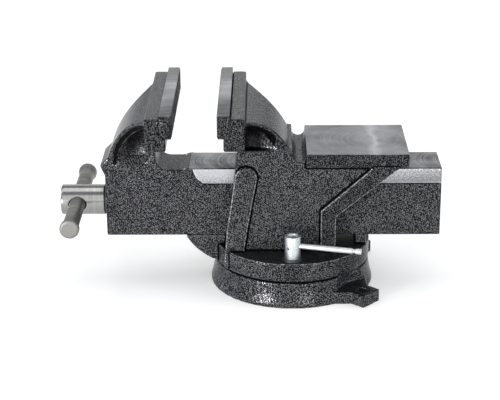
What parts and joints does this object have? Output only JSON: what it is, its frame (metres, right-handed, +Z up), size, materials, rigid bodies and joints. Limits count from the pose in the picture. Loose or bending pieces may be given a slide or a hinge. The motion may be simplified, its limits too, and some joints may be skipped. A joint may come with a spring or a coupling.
{
  "type": "swivel bench vise",
  "caption": "Cast bench vise with a sliding jaw driven by a lead screw and cross handle, a flat anvil behind the fixed jaw, and a round swivel base with bolt lugs and lever locks.",
  "frame": {"origin": "on the swivel axis, at the underside of the base where it stands on the bench", "axes": "+X along the lead screw towards the anvil end, so the handle is at -X; +Y along the jaws, away from the side that the picture shows; +Z up the swivel axis"},
  "size_m": [0.3423, 0.1518, 0.1792],
  "materials": {
    "casting_paint": "charcoal hammertone paint, semi-gloss, with ground bare faces",
    "jaw_steel": "ground, serrated gripping face",
    "dark_steel": "oiled black steel",
    "bright_steel": "bright turned",
    "nut_iron": "as cast",
    "handle_steel": "satin",
    "zinc": "zinc plated"
  },
  "bodies": {
    "base": {"swivel_base": "casting_paint"},
    "swivel_body": {"fixed_jaw_body": "casting_paint", "fixed_jaw_plate": "jaw_steel", "fixed_jaw_screws": "dark_steel", "lead_nut": "nut_iron", "lead_nut_bolts": "dark_steel", "front_t_bolt": "dark_steel", "rear_t_bolt": "dark_steel", "front_lock_washer": "zinc", "rear_lock_washer": "zinc"},
    "sliding_jaw": {"moving_jaw": "casting_paint", "moving_jaw_plate": "jaw_steel", "moving_jaw_screws": "dark_steel", "thrust_washer": "dark_steel"},
    "spindle": {"lead_screw": "bright_steel", "spindle_spring": "dark_steel", "spring_washer": "dark_steel", "retaining_pin": "dark_steel"},
    "handle": {"handle_bar": "handle_steel", "handle_knob_near": "handle_steel", "handle_knob_far": "handle_steel"},
    "front_lock": {"front_lock_nut": "zinc", "front_lock_lever": "zinc"},
    "rear_lock": {"rear_lock_nut": "zinc", "rear_lock_lever": "zinc"}
  },
  "joints": [
    {"name": "swivel", "type": "hinge", "parent": "base", "child": "swivel_body", "pos_m": [0, 0, 0.0232], "axis": [0, 0, 1], "continuous": true},
    {"name": "jaw_slide", "type": "slide", "parent": "swivel_body", "child": "sliding_jaw", "axis": [1, 0, 0], "range_m": [-0.1125, 0.0379]},
    {"name": "spindle_turn", "type": "hinge", "parent": "sliding_jaw", "child": "spindle", "pos_m": [-0.19, 0, 0.0761], "axis": [1, 0, 0], "range_deg": [-8101.8, 2730.6]},
    {"name": "handle_slide", "type": "slide", "parent": "spindle", "child": "handle", "axis": [0, 1, 0], "range_m": [-0.048, 0.048]},
    {"name": "front_lock_turn", "type": "hinge", "parent": "swivel_body", "child": "front_lock", "pos_m": [0, -0.0585, 0.05], "axis": [0, 0, 1], "range_deg": [-165, 25]},
    {"name": "rear_lock_turn", "type": "hinge", "parent": "swivel_body", "child": "rear_lock", "pos_m": [0, 0.0585, 0.05], "axis": [0, 0, 1], "range_deg": [-25, 165]}
  ],
  "couplings": [
    {"joint": "spindle_turn", "follows": "jaw_slide", "rad_per_m": 1256.6}
  ]
}
